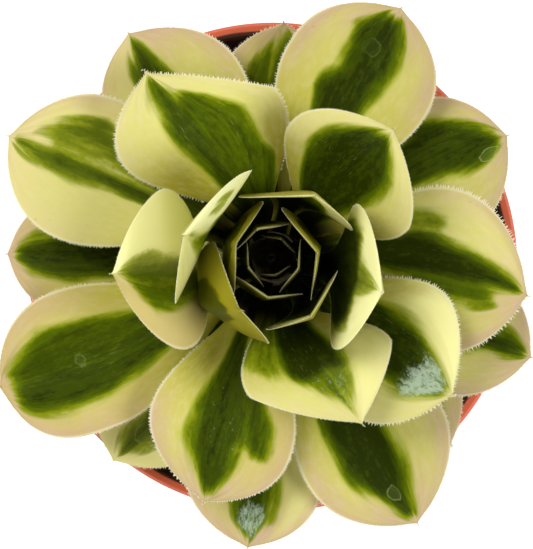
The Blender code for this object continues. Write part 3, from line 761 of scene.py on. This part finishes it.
def variegation_group():
    """Colour, roughness and relief of a variegated leaf from how green it is at a point."""
    floats = [label.capitalize() for label in PAINTED] + ["Blush", "Scuffs", "Yellow"]
    tree, f = new_tree("variegation", "ShaderNodeTree",
                       {**{name: 0.0 for name in floats}, "Palest": COLOUR},
                       {"Colour": COLOUR, "Roughness": NUMBER, "Height": NUMBER})
    s, v = f["Along"], f["Across"]
    away = calc("ABSOLUTE", v)

    def streaks(along, across, seed, *grain):
        """Noise with so many cells along the blade and, on each half of it, across it."""
        return speckle(tree, combined(tree, s * along, v * across, f["Seed"] + seed), 1.0, *grain)

    fine = streaks(5, 18, 0.0, 3.0, 0.6)
    broad = streaks(4, 7, 9.0)
    green = f["Green"]
    between = green * (1.0 - green) * 4.0
    mottle = streaks(22, 12, 7.0, 3.0, 0.6)
    dapple = streaks(55, 26, 8.0, 2.0, 0.6)
    tone = green + (fine - 0.5) * (between * 0.12 + 0.06) + (broad - 0.5) * (between * 0.4 + 0.2)
    tone = tone + ((mottle - 0.5) * 0.34 + (dapple - 0.5) * 0.16) * ramp(green, 0.04, 0.4)
    tone = calc("MAXIMUM", calc("MINIMUM", tone, 1.0), 0.0)

    near_green = ramp(green + (broad - 0.5) * 0.2, 0.0, 0.14)
    cream = mixed(ramp(s, 0.3, 0.8), linear(190, 183, 48), linear(212, 204, 112))
    # The younger leaves' cream darkens towards the stem: partly their own deeper yellow, partly painted
    # shade
    young = mixed(ramp(s, 0.42, 0.8), linear(178, 168, 42), linear(232, 228, 138))
    pale = mixed(f["Yellow"], cream, young)
    pale = mixed(near_green * 0.6, pale, linear(190, 194, 72))
    tip = calc("MAXIMUM", ramp(s, 0.74, 1.0), ramp(away, 0.55, 0.98) * ramp(s, 0.45, 0.8))
    blush = calc("MINIMUM", tip * (0.8 + (mottle - 0.5) * 1.5 + (broad - 0.5) * 1.3), 1.0)
    pink = mixed(f["Yellow"], linear(204, 172, 140), linear(236, 222, 188))
    pale = mixed(calc("MAXIMUM", blush, 0.0) * f["Blush"], pale, pink)
    pale = mixed(ramp(mottle, 0.35, 0.75) * 0.22, pale, linear(232, 226, 176))
    # Painted light: where the painted-light patches lie, the cream is whitened towards the painted-light
    # colour
    pale = mixed(f["Pale"] * 0.85, pale, f["Palest"])
    # Beige and pink patches: the leaf's own tint, and on leaf 9 painted shade
    pale = mixed(f["Flush"] * 0.9, pale, linear(200, 178, 112))
    specks = ramp(dapple, 0.66, 0.74) * tip * (1.0 - f["Yellow"])
    pale = mixed(specks * 0.35, pale, linear(150, 112, 78))
    light = mixed(ramp(tone, 0.05, 0.36), pale, linear(138, 150, 20))
    middle = mixed(ramp(tone, 0.3, 0.62), light, linear(86, 104, 3))
    deep = mixed(ramp(tone, 0.6, 0.9), middle, linear(58, 72, 2))
    colour = mixed(ramp(tone, 0.9, 1.0), deep, linear(42, 53, 1))
    veins = streaks(2.2, 26, 6.0, 2.0, 0.55)
    dark_vein = ramp(veins, 0.52, 0.68) * ramp(green, 0.45, 0.9)
    colour = mixed(dark_vein * 0.4, colour, linear(36, 46, 1))
    under = ramp(f["Face"], 0.2, -0.2)
    colour = mixed(under * 0.65, colour, linear(128, 120, 20))
    olive = mixed(ramp(tone, 0.2, 0.7), linear(150, 142, 22), linear(72, 76, 6))
    colour = mixed(f["Olive"], colour, olive)
    # Painted shade: deep in the rosette the colour is painted near black
    colour = mixed(f["Deep"], colour, linear(15, 18, 4))
    # The pale margin line, painted dark olive where the painted shade lies
    rim = ramp(away, 0.955, 0.99) * ramp(s, 0.3, 0.5) * (0.5 - f["Yellow"] * 0.25)
    colour = mixed(rim, colour, mixed(f["Deep"], linear(244, 238, 208), linear(84, 87, 32)))

    scratch = streaks(26, 60, 4.0, 2.0, 0.7)
    patch = streaks(5, 4, 2.0, 1.0)
    scuff = ramp(scratch, 0.6, 0.72) * ramp(patch, 0.48, 0.62) * f["Scuffs"] * ramp(green, 0.4, 0.8)
    colour = mixed(scuff * 0.35, colour, linear(150, 164, 100))

    # Painted sheen: a bluish-white reflection painted over the green, broken by fine scratches
    wax = speckle(tree, combined(tree, s * 38 + v * 9, v * 16 - s * 16, f["Seed"] + 3.0), 1.0, 4.0, 0.75)
    waxy = ramp(f["Bloom"] + (wax - 0.5) * 1.9, 0.3, 0.95)
    colour = mixed(waxy * 0.75, colour, linear(204, 226, 194))

    drift = f["Ring"] + (broad - 0.5) * 2.2 + (scratch - 0.5) * 0.5
    ring_line = 1.0 - ramp(calc("ABSOLUTE", drift), 0.05, 0.35)
    disc = 1.0 - ramp(drift, -0.5, 0.1)
    broken = ramp(patch + (fine - 0.5) * 0.5, 0.36, 0.6)
    colour = mixed((ring_line * broken * 0.3 + disc * 0.06) * f["Mark"], colour, linear(176, 200, 108))
    roughness = 0.46 + scuff * 0.2 - waxy * 0.1 + (fine - 0.5) * 0.12
    height = veins * ramp(green, 0.1, 0.6) * 0.3 + fine * 0.3 + scratch * 0.15
    height = height + ring_line * broken * 0.4 + waxy * wax
    finish_tree(tree, {"Colour": colour, "Roughness": roughness, "Height": height})
    return tree


def grain_group():
    """Fine noise and broad blotches on a moulded or rough surface."""
    tree, f = new_tree("grain", "ShaderNodeTree", {"Scale": 400.0, "Blotch scale": 40.0},
                       {"Mask": NUMBER, "Blotch": NUMBER})
    place = on_object(tree)
    finish_tree(tree, {"Mask": speckle(tree, place, f["Scale"], 3.0),
                       "Blotch": speckle(tree, place, f["Blotch scale"])})
    return tree


def new_material(name):
    mat = bpy.data.materials.new(name)
    mat.use_nodes = True
    return mat, mat.node_tree


def bumped(tree, height, distance):
    return out(put(tree, "ShaderNodeBump", {"Height": height, "Distance": distance}))


def coat(tree, values):
    """Give the material's shader its values by socket."""
    shader = tree.nodes["Principled BSDF"]
    for name, value in values.items():
        feed(tree, value, shader.inputs[name])


def leaf_material(name, variegation, blush, scuffs, yellow, glow, palest):
    mat, tree = new_material(name)
    painted = {label.capitalize(): attribute(tree, label) for label in PAINTED}
    skin = group_of(tree, variegation, {**painted, "Blush": blush, "Scuffs": scuffs, "Yellow": yellow,
                                        "Palest": palest})
    # Painted light: the painted-light patches on the cream also glow a little, in a pale yellow
    bright = attribute(tree, "pale") * (1.0 - attribute(tree, "green")) / PALE_MOST
    coat(tree, {
        "Base Color": out(skin, "Colour"), "Roughness": out(skin, "Roughness"),
        "Normal": bumped(tree, out(skin, "Height"), 0.12 * MM), "Specular IOR Level": 0.05,
        "Emission Color": mixed(bright, BLACK, linear(255, 253, 120)),
        "Emission Strength": glow * PALE_MOST,
        "Subsurface Weight": 0.12, "Subsurface Radius": (1.0, 0.9, 0.3), "Subsurface Scale": 1.2 * MM,
    })
    return mat


def hair_material():
    mat, tree = new_material("fringe_hair")
    pale = mixed(speckle(tree, on_object(tree), 900.0), linear(250, 242, 208), linear(255, 252, 230))
    # Painted shade: hairs deep in the rosette are painted dark olive
    colour = mixed(attribute(tree, "deep"), pale, linear(90, 92, 38))
    coat(tree, {"Base Color": colour, "Roughness": 0.6})
    return mat


def wall_radius(height):
    """Outer radius of the pot's wall at this height, a number or a field."""
    foot = FOOT_RADIUS + FOOT_EDGE
    return foot + (WALL_TOP_RADIUS - foot) * (height - FOOT_EDGE) / (WALL_TOP - FOOT_EDGE)


def pot_material(grain):
    mat, tree = new_material("pot_plastic")
    grained = group_of(tree, grain, {"Scale": 1500.0, "Blotch scale": 45.0})
    blotch, mask = out(grained, "Blotch"), out(grained, "Mask")
    place = on_object(tree)
    height = out(put(tree, "ShaderNodeSeparateXYZ", {0: place}), "Z")
    radius = vector("LENGTH", vector("MULTIPLY", place, (1.0, 1.0, 0.0)))
    inside = ramp(wall_radius(height) - 0.6 * WALL - radius, 0.0, 0.2 * MM)
    level = height + (blotch - 0.5) * 5 * MM
    soiled = inside * ramp(level, SOIL_TOP + WALL_CLEAN, SOIL_TOP + WALL_SOILED)
    lip = ramp(radius + (blotch - 0.5) * MM, RIM_RADIUS - LIP_CLEAN, RIM_RADIUS - LIP_SOILED)
    soiled = calc("MAXIMUM", soiled, lip * ramp(height, WALL_TOP - MM, WALL_TOP))
    # Painted light: the top of the rim glows a little in the plastic's orange
    ring = ramp(height, POT_HEIGHT - RING_LOW, POT_HEIGHT - 0.3 * MM) * (1.0 - soiled)
    orange = linear(226, 106, 70)
    plastic = mixed(blotch * 0.35, orange, linear(206, 88, 56))
    plastic = mixed(ramp(mask, 0.62, 0.75) * 0.18, plastic, linear(236, 170, 140))
    coat(tree, {
        "Base Color": mixed(soiled * 0.94, plastic, linear(40, 29, 22)),
        "Roughness": 0.42 + blotch * 0.12, "Normal": bumped(tree, mask, 0.05 * MM),
        "Specular IOR Level": 0.3,
        "Emission Color": mixed(ring, BLACK, orange), "Emission Strength": RING_GLOW,
    })
    return mat


def soil_material(grain):
    mat, tree = new_material("peat")
    grained = group_of(tree, grain, {"Scale": 900.0, "Blotch scale": 160.0})
    blotch, mask = out(grained, "Blotch"), out(grained, "Mask")
    dark = mixed(blotch, linear(26, 19, 15), linear(52, 38, 29))
    coat(tree, {"Base Color": mixed(ramp(mask, 0.55, 0.75), dark, linear(84, 64, 48)),
                "Roughness": 0.95, "Normal": bumped(tree, mask + blotch * 2, 0.6 * MM)})
    return mat


def rough_material(name, grain, dark, light, scale, bump):
    mat, tree = new_material(name)
    mask = out(group_of(tree, grain, {"Scale": scale, "Blotch scale": scale / 6}), "Mask")
    coat(tree, {"Base Color": mixed(ramp(mask, 0.3, 0.7), linear(*dark), linear(*light)),
                "Roughness": 0.9, "Normal": bumped(tree, mask, bump)})
    return mat


# Pieces

def make_leaves(variegation):
    tree = leaf_tree(leaf_surface_tree())
    # Each skin's last two values are the strength of its painted glow and the colour of its painted
    # light
    skins = {
        "leaf_outer": leaf_material("leaf_outer_skin", variegation, 1.0, 0.45, 0.0, 0.08,
                                    linear(238, 232, 158)),
        "leaf_middle": leaf_material("leaf_middle_skin", variegation, 0.35, 1.0, 0.6, 0.2,
                                     linear(248, 245, 184)),
        "leaf_cup": leaf_material("leaf_cup_skin", variegation, 0.0, 0.5, 1.0, 0.2,
                                  linear(250, 250, 200)),
    }
    hair = hair_material()
    leaves = []
    for rank, row in enumerate(LEAVES):
        slot = "leaf_outer" if rank < LAST_OUTER else "leaf_middle" if rank < LAST_MIDDLE else "leaf_cup"
        sizes = leaf_sizes(row, rank)
        obj = new_object(f"leaf_{rank + 1:02d}_blade", bpy.data.meshes.new("leaf"))
        fringe = dict(OUTER_FRINGE if rank < LAST_FINE_FRINGED
                      else MIDDLE_FRINGE if rank < LAST_LONG_FRINGED else CUP_FRINGE)
        fringe["Hair length"] *= HAIR_GROWTH.get(rank + 1, 1.0)
        use_tree(obj, tree, {
            **sizes, "Rows": max(24, int(sizes["Length"] / BLADE_STEP)),
            "Columns": 2 * max(8, int(sizes["Half width"] * 1.2 / BLADE_STEP)) + 1,
            **fringe, "Leaf skin": skins[slot], "Hair": hair,
        })
        leaves.append((obj, slot, sizes))
    settle([obj for obj, _, _ in leaves])
    for rank, (obj, slot, sizes) in enumerate(leaves):
        paint_leaf(obj.data, rank, sizes)
        ride(obj, slot, f"leaf_{rank + 1:02d}")


def pot_tree():
    """Turn a half profile round Z with its corners rounded, and cut the drain holes."""
    tree, f = new_tree("pot", "GeometryNodeTree",
                       {"Profile": GEOMETRY, "Sides": POT_SIDES, "Edge radius": EDGE_ROUND,
                        "Drains": DRAIN_COUNT, "Drain radius": DRAIN_RADIUS,
                        "Drain circle": DRAIN_CIRCLE, "Plastic": MATERIAL}, {"Pot": GEOMETRY})
    profile = chain(tree, f["Profile"], ("MeshToCurve", {}),
                    ("FilletCurve", {"Count": 4, "Radius": f["Edge radius"], "Limit Radius": True},
                     {"mode": "POLY"}))
    path = put(tree, "GeometryNodeCurvePrimitiveCircle",
               {"Resolution": f["Sides"], "Radius": TURN_RADIUS})
    turned = put(tree, "GeometryNodeCurveToMesh", {"Curve": out(path), "Profile Curve": profile})
    body = chain(tree, out(turned), ("MergeByDistance", {"Distance": 0.01 * MM}))
    holes = put(tree, "GeometryNodeMeshCylinder",
                {"Vertices": 32, "Radius": f["Drain radius"], "Depth": 8 * MM})
    ring = put(tree, "GeometryNodeMeshCircle", {"Vertices": f["Drains"], "Radius": f["Drain circle"]})
    spread = put(tree, "GeometryNodeInstanceOnPoints", {"Points": out(ring), "Instance": out(holes)})
    cutters = chain(tree, out(spread), ("RealizeInstances", {}),
                    ("Transform", {"Rotation": (0, 0, math.pi / DRAIN_COUNT)}))
    cut = put(tree, "GeometryNodeMeshBoolean", {"Mesh 1": body, "Mesh 2": cutters},
              operation="DIFFERENCE", solver="EXACT")
    pot = chain(tree, out(cut), ("SetMaterial", {"Material": f["Plastic"]}))
    finish_tree(tree, {"Pot": pot})
    return tree


def make_pot(grain):
    inner_top = wall_radius(WALL_TOP) - WALL
    profile = [
        (0, 0), (PAD_RADIUS, 0), (PAD_RADIUS + MM, RECESS), (34 * MM, RECESS), (35 * MM, 0),
        (FOOT_RADIUS - 0.5 * MM, 0), (FOOT_RADIUS + FOOT_EDGE, FOOT_EDGE),
        (wall_radius(60 * MM), 60 * MM), (wall_radius(100 * MM), 100 * MM),
        (SKIRT_RADIUS - 0.6 * MM, WALL_TOP), (SKIRT_RADIUS - 1.2 * MM, SKIRT_BOTTOM),
        (SKIRT_RADIUS, SKIRT_BOTTOM), (RIM_RADIUS, POT_HEIGHT - 1.2 * MM),
        (RIM_RADIUS - 0.8 * MM, POT_HEIGHT), (inner_top + 1.3 * MM, POT_HEIGHT),
        (inner_top + 0.5 * MM, POT_HEIGHT - 0.8 * MM), (inner_top, WALL_TOP),
        (wall_radius(50 * MM) - WALL, 50 * MM), (wall_radius(5 * MM) - WALL, 5 * MM),
        (FOOT_RADIUS - 2.5 * MM, FLOOR_TOP), (0, FLOOR_TOP),
    ]
    mesh = bpy.data.meshes.new("pot_profile")
    points = [(radius - TURN_RADIUS, -height, 0.0) for radius, height in profile]
    mesh.from_pydata(points, [(k, k + 1) for k in range(len(points) - 1)], [])
    pot = new_object("pot_moulded", mesh)
    use_tree(pot, pot_tree(), {"Plastic": pot_material(grain)})
    settle([pot])
    face_outward(pot.data)
    pot.data.shade_smooth()
    pot.data.set_sharp_from_angle(angle=math.radians(35))
    ride(pot, "pot", "pot")


def crumb_tree():
    """Scatter irregular grains over a surface, half sunk in it."""
    tree, f = new_tree("soil grains", "GeometryNodeTree",
                       {"Surface": GEOMETRY, "Spacing": 3 * MM, "Smallest": 0.5 * MM,
                        "Largest": 1.5 * MM, "Length": 1.0, "Seed": 1, "Grain": MATERIAL},
                       {"Grains": GEOMETRY})
    points = put(tree, "GeometryNodeDistributePointsOnFaces",
                 {"Mesh": f["Surface"], "Distance Min": f["Spacing"], "Density Max": 60000.0,
                  "Seed": f["Seed"]}, distribute_method="POISSON")
    ball = put(tree, "GeometryNodeMeshIcoSphere", {"Radius": 1.0, "Subdivisions": 2})
    size = chance(tree, f["Smallest"], f["Largest"], 9)
    scale = combined(tree, size * f["Length"], size, size * chance(tree, 0.55, 0.95, 13))
    grains = put(tree, "GeometryNodeInstanceOnPoints",
                 {"Points": out(points, "Points"), "Instance": out(ball, "Mesh"),
                  "Rotation": chance(tree, (0, 0, 0), (6.28, 6.28, 6.28), 5), "Scale": scale})
    place = out(put(tree, "GeometryNodeInputPosition"))
    dent = put(tree, "ShaderNodeTexNoise", {"Vector": place, "Scale": 700.0, "Detail": 2.0})
    push = vector("SUBTRACT", out(dent, "Color"), (0.5, 0.5, 0.5))
    grown = chain(tree, out(grains), ("RealizeInstances", {}),
                  ("SetPosition", {"Offset": scaled(push, f["Smallest"] * 1.6)}),
                  ("SetMaterial", {"Material": f["Grain"]}))
    finish_tree(tree, {"Grains": grown})
    return tree


def soil_surface():
    """The packed soil's upper faces as a mesh of their own, clear of the wall and the stem."""
    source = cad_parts["soil"].data
    points = np.array([vert.co for vert in source.vertices])
    outer = wall_radius(SOIL_TOP) - WALL - WALL_CLEAR
    faces = []
    for face in source.polygons:
        radius = np.hypot(face.center.x, face.center.y)
        if face.normal.z > 0.6 and face.center.z > SOIL_TOP - 6 * MM and STEM_CLEAR < radius < outer:
            faces.append(tuple(face.vertices))
    mesh = bpy.data.meshes.new("soil_surface")
    mesh.from_pydata([tuple(p) for p in points], [], faces)
    return mesh


# Grains on the soil: the name, darkest and lightest colour, scale and bump of their skin, and how they
# are strewn
GRAINS = {
    "perlite": ("perlite_white", (196, 192, 184), (244, 242, 236), 1200.0, 0.3 * MM,
                {"Spacing": 3.0 * MM, "Smallest": 0.35 * MM, "Largest": 1.1 * MM, "Seed": 4}),
    "peat_crumbs": ("bark_brown", (38, 26, 18), (92, 64, 42), 900.0, 0.3 * MM,
                    {"Spacing": 2.4 * MM, "Smallest": 0.5 * MM, "Largest": 1.3 * MM, "Length": 1.3,
                     "Seed": 8}),
    "peat_fibres": ("fibre_straw", (120, 92, 60), (186, 158, 116), 900.0, 0.1 * MM,
                    {"Spacing": 9.0 * MM, "Smallest": 0.16 * MM, "Largest": 0.3 * MM, "Length": 12.0,
                     "Seed": 21}),
}


def make_soil(grain):
    coat_node("soil", soil_material(grain))
    tree = crumb_tree()
    pieces = []
    for name, (skin, dark, light, scale, bump, strewn) in GRAINS.items():
        obj = new_object(name, soil_surface())
        use_tree(obj, tree, {**strewn, "Grain": rough_material(skin, grain, dark, light, scale, bump)})
        pieces.append(obj)
    settle(pieces)
    for obj in pieces:
        obj.data.shade_smooth()
        ride(obj, "soil")


def finish_stem_and_bud(grain):
    bark = rough_material("stem_bark", grain, (58, 50, 28), (104, 92, 56), 700.0, 0.2 * MM)
    green = rough_material("bud_green", grain, (16, 20, 5), (34, 40, 12), 1500.0, 0.05 * MM)
    coat_node("stem", bark)
    coat_node("bud", green)


# The photo table

WALL_GLOW = 1.0
CEILING_GLOW = 0.8
TABLE_GLOW = 0.5
TABLE_REACH = 3.0
LIGHTS_AIM = Vector((0, 0, 0.12))

# Azimuth, elevation, distance and size in metres, watts, colour
LIGHTS = {
    "key": (140, 48, 1.2, 0.8, 11, (1.0, 0.98, 0.94)),
    "window": (345, 44, 1.3, 0.7, 11, (0.97, 0.99, 1.0)),
    "fill": (240, 30, 1.1, 0.6, 3.6, (1.0, 1.0, 1.0)),
}


def area_light(name, azimuth, elevation, distance, size, power, colour):
    light = bpy.data.lights.new(name, "AREA")
    light.shape = "DISK"
    light.size = size
    light.energy = power
    light.color = colour
    obj = bpy.data.objects.new(name, light)
    bpy.context.scene.collection.objects.link(obj)
    a, e = math.radians(azimuth), math.radians(elevation)
    way = Vector((math.cos(e) * math.cos(a), math.cos(e) * math.sin(a), math.sin(e)))
    obj.location = LIGHTS_AIM + way * distance
    obj.rotation_euler = way.to_track_quat("Z", "Y").to_euler()
    obj.visible_camera = False


def make_stage():
    mesh = bpy.data.meshes.new("table_top")
    corners = [(x * TABLE_REACH, y * TABLE_REACH, 0) for x, y in ((-1, -1), (1, -1), (1, 1), (-1, 1))]
    mesh.from_pydata(corners, [], [(0, 1, 2, 3)])
    floor = new_object("table_top", mesh)
    mat, tree = new_material("table_white")
    coat(tree, {"Base Color": linear(246, 246, 246), "Roughness": 0.8,
                "Emission Color": linear(255, 255, 255), "Emission Strength": TABLE_GLOW})
    mesh.materials.append(mat)

    world = bpy.data.worlds.new("studio")
    bpy.context.scene.world = world
    world.use_nodes = True
    tree = world.node_tree
    split = put(tree, "ShaderNodeSeparateXYZ", {0: out(put(tree, "ShaderNodeTexCoord"), "Generated")})
    glow = ramp(out(split, "Z"), 0.55, 0.92, WALL_GLOW, CEILING_GLOW)
    feed(tree, glow, tree.nodes["Background"].inputs["Strength"])
    for name, values in LIGHTS.items():
        area_light(name, *values)

    camera = bpy.data.cameras.new("camera")
    view = bpy.data.objects.new("camera", camera)
    bpy.context.scene.collection.objects.link(view)
    camera.sensor_fit = "VERTICAL"
    camera.sensor_height = SENSOR
    camera.lens = SENSOR * (CAMERA_OVER_RIM / PIXEL) / PHOTO_HEIGHT
    x, y = (PIXEL * step for step in CAMERA_OFF_AXIS)
    view.location = (x, y, POT_HEIGHT + CAMERA_OVER_RIM)
    bpy.context.scene.camera = view
    bpy.context.scene.view_settings.view_transform = "Standard"


def main():
    grain = grain_group()
    make_stage()
    make_leaves(variegation_group())
    make_pot(grain)
    make_soil(grain)
    finish_stem_and_bud(grain)


main()
